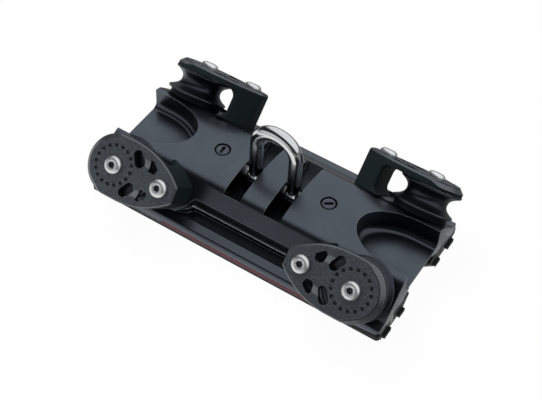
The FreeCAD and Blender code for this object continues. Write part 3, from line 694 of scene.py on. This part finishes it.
# %% Sheaves
SHEAVE_RADIUS = 28.5
SHEAVE_BORE = 15.05
SHEAVE_MIDDLE = -18.4
SHEAVE_HALF = 11.3
SUNK_FACE = SHEAVE_HALF - 0.4
GROOVE_HALF = 9.0
GROOVE_FLOOR = 19.5
GROOVE_POWER = 2.4


def sheave_profile():
    """(r, z) round the ring: bore, side with a shallow turned recess, rounded rim, and the groove, whose radius
    is floor + rise |t|^2.4 for t from 1 to -1 across it."""
    t = np.linspace(1, -1, 41)
    rise = SHEAVE_RADIUS - 0.4 - GROOVE_FLOOR
    groove = np.column_stack((GROOVE_FLOOR + rise * np.abs(t) ** GROOVE_POWER, GROOVE_HALF * t))
    side = [(SHEAVE_BORE, SUNK_FACE), (SHEAVE_BORE + 0.4, SHEAVE_HALF), (18.0, SHEAVE_HALF), (18.4, SUNK_FACE),
            (25.6, SUNK_FACE), (26.0, SHEAVE_HALF), (27.9, SHEAVE_HALF), (28.3, SHEAVE_HALF - 0.15),
            (SHEAVE_RADIUS, SHEAVE_HALF - 0.55), (SHEAVE_RADIUS, GROOVE_HALF + 0.4)]
    lower = [(r, -z) for r, z in reversed(side)]
    return np.concatenate((side, groove, lower, side[:1])) + np.array((0, SHEAVE_MIDDLE))


sheave_master = turned("sheave_master", sheave_profile(), 128)
for corner in CORNERS:
    piece = at_corner(sheave_master, "turned_sheave_" + corner, corner)
    dressed(piece, SHEAVE_FINISH, "wheel_" + corner, "sheave_anodised", "sheave_" + corner)
bpy.data.objects.remove(sheave_master)
print("sheave faces:", len(piece.data.polygons))

# %% [markdown]
# ## Cheeks
#
# The outer cheek is a plate with a foot. Its outline is round about the axle, then two long curves narrow it
# to a blunt end. The outline is kept as a shrunken core with outward normals, so any offset of it is one
# addition. The bevel is narrow along the flanks and swells to a wide turned bevel at the round end, whose
# lighter finish and near-white edges are a painted highlight, with a dark line where it meets the face. Two
# rope windows, their sunk webs and a ring of dimples are then cut with closed tools, and each face gets its
# finish from where it lies and which way it looks.

# %% The cheek's outline
CHEEK_HALF = 28.0
CHEEK_STRAIGHT = 12.0
CHEEK_SIDE_RADIUS = 75.0
CHEEK_END = 63.5
CHEEK_ROUND = 3.0
CHEEK_THICKNESS = 6.5
FLANK_RADIUS = CHEEK_SIDE_RADIUS - CHEEK_ROUND
FLANK_CENTRE = (CHEEK_STRAIGHT, CHEEK_SIDE_RADIUS - CHEEK_HALF)
FLANK_SWEEP = np.arcsin((CHEEK_END - CHEEK_ROUND - CHEEK_STRAIGHT) / FLANK_RADIUS)
FLIP = np.array((1, -1))


def flank(turn):
    """Core points and outward normals of the lower flank: an arc about its centre, with normal (sin t, -cos t).
    Times FLIP it is the upper flank."""
    normals = np.stack((np.sin(turn), -np.cos(turn)), -1)
    return np.array(FLANK_CENTRE) + FLANK_RADIUS * normals, normals


def wide_share(from_flank):
    """Share of the wide bevel at an angle round the nose from the flank: a smooth step from 0.05 to 0.5 rad."""
    rise = np.clip((from_flank - 0.05) / 0.45, 0, 1)
    return rise * rise * (3 - 2 * rise)


def cheek_core():
    """Core points, outward normals and share of the wide bevel, anticlockwise from the upper flank's start."""
    nose = np.linspace(np.pi / 2, 3 * np.pi / 2, 73)
    nose_n = directions(nose)
    bend_p, bend_n = flank(np.linspace(0, FLANK_SWEEP, 25))
    fan_n = directions(np.linspace(FLANK_SWEEP - np.pi / 2, 0, 9))
    fan_p = np.repeat(bend_p[-1:], 9, 0)
    points = np.concatenate(((CHEEK_HALF - CHEEK_ROUND) * nose_n, bend_p, fan_p[1:], (fan_p * FLIP)[:-1],
                             (bend_p * FLIP)[::-1]))
    normals = np.concatenate((nose_n, bend_n, fan_n[1:], (fan_n * FLIP)[::-1][:-1], (bend_n * FLIP)[::-1]))
    share = np.zeros(len(points))
    share[:len(nose)] = wide_share(np.minimum(nose - np.pi / 2, 3 * np.pi / 2 - nose))
    return points, normals, share


CORE, FACING, WIDE = cheek_core()
print("points round the cheek:", len(CORE))

# %% The plate with its bevel
PLATE_ROWS = ((0.0, 0.0), (0.0, 0.5), (0.0, 0.92), (0.1, 1.02), (0.84, 1.814), (0.92, 1.9), (1.0, 2.0))


def bevel_size(share):
    """Width and height of the bevel, which blend from 1.5 each to 4.4 and 4.0."""
    return 1.5 + 2.9 * share, 1.5 + 2.5 * share


def plate():
    """A row of the plate is the outline drawn in by a share of the bevel's width. Its level runs from 0 at the
    foot to 1 where the bevel starts and 2 on the face."""
    width, height = bevel_size(WIDE)
    rows = []
    for inset, level in PLATE_ROWS:
        grow = CHEEK_ROUND - width * inset
        wall = (CHEEK_THICKNESS - height) * min(level, 1.0)
        rows.append(np.column_stack((CORE + FACING * grow[:, None],
                                     -CHEEK_THICKNESS + wall + height * max(level - 1.0, 0.0))))
    return surface("plate", np.stack(rows), capped=True)


print("plate rows:", len(PLATE_ROWS))

# %% The post
POST_FACE = 41.0
POST_FLARE = 8.0
FOOT_EDGE = 0.8
SEAT_LEVEL = -34.8
FAN_STEPS = 9


def post():
    """Sections at rising heights: the cheek's core cut off at u = face + 3, swept by a circle of 3 mm.
    Near the seat and near the plate the face moves towards the sheave on a quarter circle."""
    flare = np.linspace(0, 1.45, 14)
    foot_level = SEAT_LEVEL + FOOT_EDGE + POST_FLARE * (1 - np.sin(flare[::-1]))
    top_level = -CHEEK_THICKNESS - POST_FLARE * (1 - np.sin(flare))
    level = np.concatenate(([SEAT_LEVEL], foot_level, top_level))
    reach = POST_FACE - POST_FLARE * (1 - np.cos(flare))
    face = np.concatenate((reach[-1:], reach[::-1], reach))
    first = np.arcsin((face + CHEEK_ROUND - CHEEK_STRAIGHT) / FLANK_RADIUS)[:, None]
    share = np.linspace(0, 1, FAN_STEPS)[None, :]
    flank_p, flank_n = flank(first + (FLANK_SWEEP - first) * np.linspace(0, 1, 12)[None, :])
    front = directions(-np.pi + (first + np.pi / 2) * share)
    rear = directions((FLANK_SWEEP - np.pi / 2) * (1 - share) + 0 * first)
    ends = [np.repeat(column, FAN_STEPS, 1) for column in (flank_p[:, :1], flank_p[:, -1:])]
    points = np.concatenate((ends[0], flank_p, ends[1]), 1)
    half = points + CHEEK_ROUND * np.concatenate((front, flank_n, rear), 1)
    section = np.concatenate((half, half[:, ::-1] * FLIP), 1)
    rows = np.concatenate((section, np.repeat(level[:, None, None], section.shape[1], 1)), -1)
    return surface("post", rows, capped=True)


print("post stands from", SEAT_LEVEL, "to", -CHEEK_THICKNESS)

# %% Windows, webs and dimples
OVAL_ENDS = ((21.9, 11.7), (18.1, 17.8))
OVAL_RADIUS = 4.6
DEE_CORNERS = ((33.2, 17.0), (34.0, 10.6), (37.2, 10.6), (37.8, 13.2))
DEE_RADIUS = 2.4
WEB_CORNERS = (OVAL_ENDS[0], DEE_CORNERS[1], DEE_CORNERS[0], OVAL_ENDS[1])
WEB_RADIUS = 0.4
WEB_LEVEL = -2.2
DIMPLE_COUNT = 17
DIMPLE_CIRCLE = 17.5
DIMPLE_RADIUS = 1.9
DIMPLE_DEPTH = 1.8


def anticlockwise(corners):
    """The ring of corners, in the order that turns left."""
    ring = np.asarray(corners, float)
    after = np.roll(ring, -1, 0)
    area = np.sum(ring[:, 0] * after[:, 1] - after[:, 0] * ring[:, 1])
    return ring if area >= 0 else ring[::-1]


def pair_of_prisms(name, corners, radius, low, high=2):
    """A rounded hole's tool and its mirror image across the block's middle plane."""
    rings = (corners, np.asarray(corners) * FLIP)
    return merged(name, [prism(name, rounded_path(anticlockwise(ring), radius), low, high) for ring in rings])


def dimple_tool():
    """Small round-bottomed pegs on a circle about the axle."""
    profile = np.array(((0, -1), (0.6, -0.95), (0.95, -0.6), (1, -0.3)))
    rows = (profile * (DIMPLE_RADIUS, DIMPLE_DEPTH)).tolist() + [(DIMPLE_RADIUS, 1), (0, 1)]
    peg = turned("peg", rows, 16)
    pegs = []
    for x, y in DIMPLE_CIRCLE * MM * directions(np.arange(DIMPLE_COUNT) * 2 * np.pi / DIMPLE_COUNT):
        copy = bpy.data.objects.new("peg", peg.data.copy())
        copy.data.transform(Matrix.Translation((x, y, 0)))
        pegs.append(copy)
    bpy.data.objects.remove(peg)
    return merged("pegs", pegs)


print("dimples:", DIMPLE_COUNT)

# %% Cheeks on their corners
BEVEL_LINE = 0.8


def cheek_parts(cheek):
    """Each face's finish from its place (u, v, h) and how far it looks out: 0 is the grained face, 1 black,
    2 a window's web and 3 the bevel below BEVEL_LINE, as a share of its height, whose lighter finish is a
    painted highlight."""
    u, v, h = face_values(cheek, "center") / MM
    out = face_values(cheek, "normal")[2]
    in_dimple = (np.abs(np.hypot(u, v) - DIMPLE_CIRCLE) < DIMPLE_RADIUS + 0.05) & (h < -0.05) & (h > -2)
    dark = ((out < 0.3) | (h < -5)) & ~in_dimple
    web = (np.abs(h - WEB_LEVEL) < 0.05) & (out > 0.9) & (u > 14)
    bevel = ~in_dimple & (out > 0.4) & (out < 0.97) & (h > -4.5)
    height = bevel_size(wide_share(np.abs(np.arctan2(v, u)) - np.pi / 2))[1]
    return np.select((dark, web, bevel & (1 + h / height < BEVEL_LINE), bevel), (1, 2, 3, 1), 0)


cheek_master = combined(plate(), post(), "UNION")
for tool in (pair_of_prisms("ovals", OVAL_ENDS, OVAL_RADIUS, -CHEEK_THICKNESS - 2),
             pair_of_prisms("dees", DEE_CORNERS, DEE_RADIUS, -16),
             pair_of_prisms("webs", WEB_CORNERS, WEB_RADIUS, WEB_LEVEL), dimple_tool()):
    cheek_master = combined(cheek_master, tool, "DIFFERENCE")
welded(cheek_master, 30)
parts = cheek_parts(cheek_master)
for corner in CORNERS:
    piece = at_corner(cheek_master, "cast_cheek_" + corner, corner)
    dressed(piece, CHEEK_FINISH, "car", "cheek_anodised", "cheek_" + corner)
    add_finishes(piece, parts, POST_FINISH, WEB_FINISH, BEVEL_HIGHLIGHT_FINISH)
bpy.data.objects.remove(cheek_master)
print("cheek faces:", len(parts), "by finish", np.bincount(parts))

# %% [markdown]
# ## Button-head screws
#
# Each block has two button-head screws with a hexagon socket. The rows inside the socket follow a hexagon and
# those outside a circle, so one grid makes socket, chamfer, dome and shank. Where a socket happens to stand is
# different on each screw.

# %% Button-head screws
POST_SCREW = 48.0
HEAD_RADIUS = 8.2
HEAD_HEIGHT = 4.6
RIM_RADIUS = 4.4
DOME_FOOT = 1.2
SOCKET_HALF = 2.8
SHANK_RADIUS = 4.0
SHANK_END = -46.8


def button_screw(name, turn):
    """Rows from the socket's floor out: hexagon rows have r = half the flats / cos(angle from a flat's middle).
    The dome's rows lie on a quarter ellipse from the flat rim of the socket to the edge of the head."""
    steps = 72
    angle = np.linspace(0, 2 * np.pi, steps, endpoint=False)
    from_flat = (angle + np.pi / 6) % (np.pi / 3) - np.pi / 6
    hexagon = SOCKET_HALF / np.cos(from_flat)
    rows = [(0.0, HEAD_HEIGHT - 2.9), (hexagon, HEAD_HEIGHT - 2.7), (hexagon, HEAD_HEIGHT - 0.35),
            (3.6, HEAD_HEIGHT - 0.02), (RIM_RADIUS, HEAD_HEIGHT)]
    rows += [(RIM_RADIUS + (HEAD_RADIUS - RIM_RADIUS) * np.sin(a),
              DOME_FOOT + (HEAD_HEIGHT - DOME_FOOT) * np.cos(a)) for a in np.linspace(0.10, 1.45, 14)]
    rows += [(HEAD_RADIUS, 1.1), (8.15, 0.2), (8.0, 0.0), (SHANK_RADIUS, 0.0), (SHANK_RADIUS, SHANK_END + 0.5),
             (SHANK_RADIUS - 0.5, SHANK_END), (0.0, SHANK_END)]
    ray = directions(angle + turn)
    return surface(name, np.stack([np.column_stack((np.reshape(r, (-1, 1)) * ray, np.full(steps, z)))
                                   for r, z in rows]))


screws, in_socket = [], []
for k, corner in enumerate(CORNERS):
    for n, x in enumerate((0.0, POST_SCREW)):
        screw = button_screw("screw", 0.35 * k + 0.5 * n)
        u, v, h = face_values(screw, "center") / MM
        in_socket.append((np.hypot(u, v) < 3.3) & (h > 0) & (h < HEAD_HEIGHT - 0.3))
        screw.data.transform(Matrix.Translation((x * MM, 0, 0)))
        screw.data.transform(corner_matrix(*CORNERS[corner]))
        screws.append(screw)
screws = merged("button_head_screws", screws)
dressed(screws, STEEL_FINISH, "car", "stainless_screws", "block_screws")
# Painted shade inside the sockets.
add_finishes(screws, np.concatenate(in_socket), SOCKET_SHADE)
print("screw faces:", len(screws.data.polygons))

# %% [markdown]
# ## Bow shackle
#
# The bow is round bar bent to a U. A circle is carried along a path of leg, half circle and leg, and each leg
# ends in an eye: a thick round-edged disc about the pin. Leg and eye are joined to one solid. The eye is a
# little thinner than the bar and the hole a little wider than the eye's bore, because surfaces that only touch
# would leave gaps when the solids are joined and cut.

# %% Bow shackle
BAR = 6.4
BOW_RADIUS = 19.76
BOW_MIDDLE = 83.0
LEG_STEPS = 9
PIN_LEVEL = 38.5
EYE_RADIUS = 7.8
EYE_HALF = 6.36
EYE_ROUND = 2.2
EYE_BORE = 5.05
PIN_HOLE = 5.08


def bow_bar():
    """Rows are circles of the bar: centre on the path, spanned by Y and by the path's outward direction."""
    turn = np.linspace(0, np.pi, 61)
    leg = np.linspace(PIN_LEVEL - 1, BOW_MIDDLE, LEG_STEPS + 1)[:-1]
    lean = np.concatenate((np.zeros(LEG_STEPS), turn, np.full(LEG_STEPS, np.pi)))[:, None]
    level = np.concatenate((leg, BOW_MIDDLE + BOW_RADIUS * np.sin(turn), leg[::-1]))[:, None]
    outward, sideways = BAR * directions(np.linspace(0, 2 * np.pi, 40, endpoint=False)).T
    points = (BOW_RADIUS * np.cos(lean) + outward * np.cos(lean), sideways + 0 * lean,
              level + outward * np.sin(lean))
    return surface("bow_bar", np.stack(points, -1), capped=True)


def onto_pin(piece, x):
    """A piece drawn about Z, turned about the pin's axis with its middle at x."""
    piece.data.transform(Matrix.Translation((x * MM, 0, PIN_LEVEL * MM)) @ Matrix.Rotation(np.pi / 2, 4, "Y"))
    return piece


def bow_eye(x):
    """A disc about the pin's axis with rounded edges and a bore with a small chamfer."""
    edge = EYE_ROUND * directions(np.linspace(0, np.pi / 2, 7))
    outer = (edge + (EYE_RADIUS - EYE_ROUND, EYE_HALF - EYE_ROUND)).tolist()
    half = [(EYE_BORE, EYE_HALF - 0.3), (EYE_BORE + 0.3, EYE_HALF)]
    ring = half + outer[::-1] + [(r, -w) for r, w in outer] + [(r, -w) for r, w in reversed(half)] + half[:1]
    return onto_pin(turned("eye", ring, 48), x)


bow = combined(bow_bar(), bow_eye(-BOW_RADIUS), "UNION")
bow = combined(bow, bow_eye(BOW_RADIUS), "UNION")
pin_hole = onto_pin(turned("pin_hole", [(0, -40), (PIN_HOLE, -40), (PIN_HOLE, 40), (0, 40)], 48), 0)
bow = combined(bow, pin_hole, "DIFFERENCE")
bow.name = bow.data.name = "bent_bow"
welded(bow, 40)
dressed(bow, POLISHED_FINISH, "bow", "polished_stainless", "shackle_bow")
print("bow faces:", len(bow.data.polygons))

# %% [markdown]
# ## Locking screws
#
# Two slotted screws hold the shackle's pin. Their flat faces lie just below the crown, and the slot stops short
# of the rim. The dark ring round each is its bevel, which has the posts' black finish, and the gap beside it.

# %% Locking screws
LOCK_X = 55.2
LOCK_TOP = 50.2
LOCK_FOOT = 42.9
LOCK_RADIUS = 7.3
LOCK_FACE_RADIUS = 5.6
LOCK_TURNS = (96.0, 34.0)


def lock_screw(end, turn):
    """Disc with a bevelled rim, cut by a slot with round ends, turned as it happens to stand."""
    profile = [(0, LOCK_FOOT), (LOCK_RADIUS, LOCK_FOOT), (LOCK_RADIUS, 48.5), (7.1, 48.9), (5.8, 50.1),
               (LOCK_FACE_RADIUS, LOCK_TOP), (0, LOCK_TOP)]
    slot = prism("slot", rounded_path(((-2.9, 0), (2.9, 0)), 1.5), LOCK_TOP - 2.2, LOCK_TOP + 1)
    disc = combined(turned("lock_screw", profile, 72), slot, "DIFFERENCE")
    spin = Matrix.Rotation(np.radians(turn), 4, "Z")
    disc.data.transform(Matrix.Translation((end * LOCK_X * MM, 0, 0)) @ spin)
    return disc


lock_screws = merged("slotted_lock_screws", [lock_screw(*pair) for pair in zip((-1, 1), LOCK_TURNS)])
welded(lock_screws, 30)
x, y, _ = face_values(lock_screws, "center") / MM
dressed(lock_screws, LOCK_FINISH, "car", "lock_screw_dark", "pin_lock_screws")
add_finishes(lock_screws, np.hypot(np.abs(x) - LOCK_X, y) > LOCK_FACE_RADIUS, POST_FINISH)
print("lock screw faces:", len(lock_screws.data.polygons))

# %% [markdown]
# ## Bearing balls
#
# Twenty balls show in the open race on each side of the track. One ball's grid of latitude and longitude is
# added to all the centres at once, which gives the whole row in one array.

# %% Bearing balls
BALLS = 20
BALL_RADIUS = 6.0
BALL_STEP = 12.4
BALL_LINE = (22.5, 9.5)
BALL_GRID = (13, 20)


def ball_row(side):
    """Latitude-longitude grid of one ball, broadcast over the centres along X."""
    rise = np.linspace(-np.pi / 2, np.pi / 2, BALL_GRID[0])[:, None]
    turn = np.linspace(0, 2 * np.pi, BALL_GRID[1], endpoint=False)[None, :]
    ball = np.stack((np.cos(rise) * np.cos(turn), np.cos(rise) * np.sin(turn), np.sin(rise) + 0 * turn), -1)
    along = (np.arange(BALLS) - (BALLS - 1) / 2) * BALL_STEP
    centres = np.column_stack((along, np.full(BALLS, side * BALL_LINE[0]), np.full(BALLS, BALL_LINE[1])))
    points = (centres[:, None, None, :] + BALL_RADIUS * ball[None]).reshape(-1, 3) * MM
    first = np.arange(BALLS)[:, None, None] * (BALL_GRID[0] * BALL_GRID[1])
    faces = (first + grid_faces(*BALL_GRID, True)[None]).reshape(-1, 4)
    name = "bearing_balls_" + ("far" if side > 0 else "near")
    mesh = bpy.data.meshes.new(name)
    mesh.from_pydata(points.tolist(), [], faces.tolist())
    return welded(linked(name, mesh), 80)


for side, word in ((-1, "near"), (1, "far")):
    row = dressed(ball_row(side), BALL_FINISH, "car", "balls", "ball_row_" + word)
print("balls in a row:", BALLS, "faces:", len(row.data.polygons))

# %% [markdown]
# ## Thin trim along the sides
#
# A shallow channel runs along each side of the body, and a thin dark red line is laid into its middle part. It
# is an enamel strip 0.42 mm thick whose ends taper to a point: one closed outline, pushed out from the
# channel's floor. Below it a thin black lip along the side, and at each corner a skirt that rises towards the
# corner, are dark sheets that stand for the black guides' edge and painted shade at the body's foot, which
# they make look rounded and dark.

# %% The enamel line
LINE_ENDS = (-74.0, 88.0)
LINE_LEVELS = (7.2, 10.8)
LINE_DEPTH = (71.0, 71.42)
LINE_TAPER = 6


def enamel_line(side):
    """Closed path (x, z) between two levels, its ends drawn in as a quarter sine, pushed along y."""
    low, high = LINE_LEVELS
    middle = (low + high) / 2
    left, right = LINE_ENDS
    taper = np.linspace(0, 1, 9)
    swell = np.sin(taper * np.pi / 2) * (high - low) / 2
    x = np.concatenate((left + LINE_TAPER * taper, right - LINE_TAPER * taper[::-1]))
    rise = np.concatenate((swell, swell[::-1]))
    lower, upper = np.column_stack((x, middle - rise)), np.column_stack((x, middle + rise))
    line = prism("enamel_line", np.concatenate((lower, upper[::-1][1:-1])), *LINE_DEPTH)
    line.data.transform(from_columns((1, 0, 0), (0, 0, 1), (0, side, 0)))
    return line


enamel_lines = merged("enamel_side_lines", [enamel_line(side) for side in (-1, 1)])
welded(enamel_lines, 30)
dressed(enamel_lines, ENAMEL_FINISH, "car", "body_anodised")
print("line faces:", len(enamel_lines.data.polygons))

# %% Guide lips and corner skirts: dark edge and painted shade
LIP_OUTLINE = ((71.2, 4.1), (71.6, 4.1), (71.6, 6.4), (71.45, 6.7), (71.2, 6.7))
LIP_HALF = 143.0
BODY_END = 149.5
BODY_SIDE = 71.5
SKIRT_ROUND = 3.0
SKIRT_PROUD = 0.12
SKIRT_WALL = 0.3
SKIRT_INNER_END = -50
SKIRT_PLACES = (112, 120, 149.7)
SKIRT_TOPS = (4.3, 7.6, 10.4)


def guide_and_shade_lip(side):
    """Closed path (y, z) of a thin black lip over the body's lower edge, pushed along x. It stands for the
    guide's dark edge and painted shade.
    """
    lip = prism("guide_and_shade_lip", np.array(LIP_OUTLINE), -LIP_HALF, LIP_HALF)
    lip.data.transform(from_columns((0, side, 0), (0, 0, 1), (1, 0, 0)))
    return lip


def corner_shade_skirt(end, side):
    """A thin black skirt round a lower corner of the body, painted shade at its foot: its plan follows the side,
    a quarter circle of 3 mm and the end face, and its two rows of heights give it a level foot and a top that
    rises to the corner."""
    x_turn, y_turn = ((SKIRT_ROUND + SKIRT_PROUD) * directions(np.linspace(-np.pi / 2, 0, 9))).T
    along = np.linspace(SKIRT_PLACES[0], BODY_END - SKIRT_ROUND, 12)[:-1]
    across = np.linspace(-BODY_SIDE + SKIRT_ROUND + 1, SKIRT_INNER_END, 6)
    x = np.concatenate((along, BODY_END - SKIRT_ROUND + x_turn, 0 * across + BODY_END + SKIRT_PROUD))
    y = np.concatenate((0 * along - BODY_SIDE - SKIRT_PROUD, -BODY_SIDE + SKIRT_ROUND + y_turn, across))
    top = np.interp(x, SKIRT_PLACES, SKIRT_TOPS)
    on_end = x > BODY_END - 0.5
    inner = np.column_stack((x - SKIRT_WALL * on_end, y + SKIRT_WALL * ~on_end))
    rows = [np.column_stack((inner, 0 * x + 4.2)), np.column_stack((x, y, 0 * x + 4.1)),
            np.column_stack((x, y, top)), np.column_stack((inner, top + 0.1))]
    ring = np.stack(rows + rows[:1])
    tips = [np.broadcast_to(ring[:4, k].mean(0), (5, 1, 3)) for k in (0, -1)]
    points = np.concatenate((tips[0], ring, tips[1]), 1) * np.array((end, -side, 1))
    return surface("corner_shade_skirt", points, wrap=False)


shade_skirts = [corner_shade_skirt(*corner) for corner in CORNERS.values()]
guide_and_shade_lips = merged("guide_and_shade_lips", [guide_and_shade_lip(side) for side in (-1, 1)] + shade_skirts)
welded(guide_and_shade_lips, 30)
# The lips and skirts are partly the guides' dark edge and partly painted shade at the body's foot.
dressed(guide_and_shade_lips, GUIDE_FINISH, "car", "guide_plastic")
print("lip faces:", len(guide_and_shade_lips.data.polygons))

# %% [markdown]
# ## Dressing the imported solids
#
# The body, the guides, the end turns and the inner parts of the blocks have exact shapes already, with smooth
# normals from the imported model, so they stay and only take their finishes. The nodes that new pieces stand for
# take one too, in case they are shown. The longest key that starts a node's name gives its finish.

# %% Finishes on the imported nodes
NODE_FINISHES = {
    "car_body": BODY_FINISH, "ball_guide": GUIDE_FINISH, "end_turn": GUIDE_FINISH, "ball_row": BALL_FINISH,
    "guide_screws": STEEL_FINISH, "block_screws": STEEL_FINISH, "shackle_bow": POLISHED_FINISH,
    "shackle_pin": STEEL_FINISH, "pin_lock_screws": LOCK_FINISH, "cheek": CHEEK_FINISH,
    "base_cheek": BASE_SHADE_FINISH, "sheave_bush": RING_FINISH, "sheave_hub": HUB_FINISH, "sheave": SHEAVE_FINISH,
}
for name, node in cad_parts.items():
    start = max((key for key in NODE_FINISHES if name.startswith(key)), key=len)
    for slot in node.material_slots:
        slot.material = NODE_FINISHES[start]
print("dressed nodes:", len(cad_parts))
